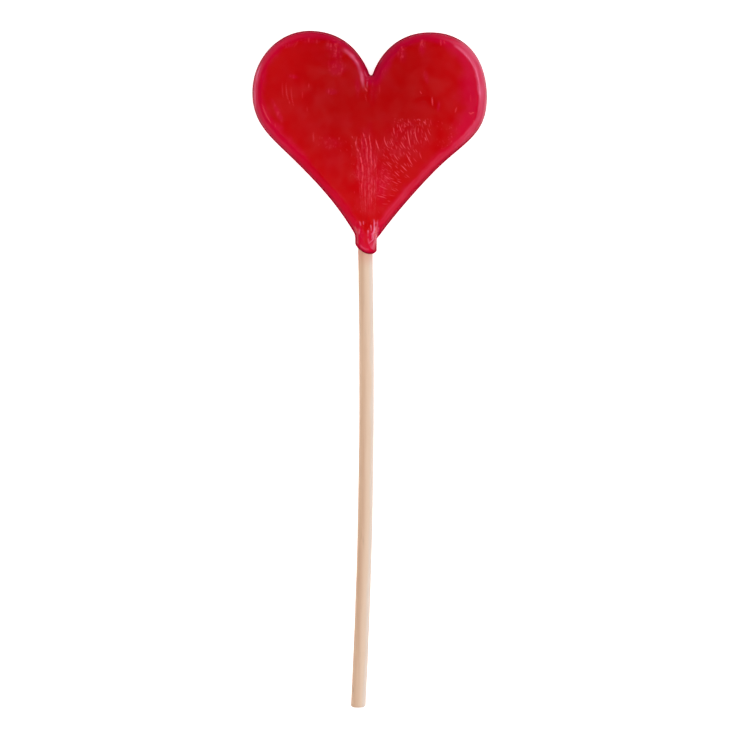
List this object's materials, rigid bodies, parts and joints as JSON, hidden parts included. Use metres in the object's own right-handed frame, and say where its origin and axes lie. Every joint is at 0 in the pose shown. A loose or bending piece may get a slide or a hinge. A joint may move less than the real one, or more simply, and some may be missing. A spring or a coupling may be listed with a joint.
{
  "type": "heart lollipop",
  "caption": "Flat heart of clear red boiled sugar with a pressed rim and wrinkled face, moulded round the end of a plain round wooden stick.",
  "frame": {"origin": "on the flat back of the candy, under the middle of the heart", "axes": "+Z out of the shown face, +Y from the foot of the stick towards the cleft of the heart, +X to the right of the shown face"},
  "size_m": [0.0622, 0.1794, 0.0083],
  "materials": {
    "candy": "clear glossy boiled sugar",
    "wood": "bare, fine-grained birch"
  },
  "bodies": {
    "root": {"heart_candy": "candy", "stick": "wood"}
  },
  "joints": []
}
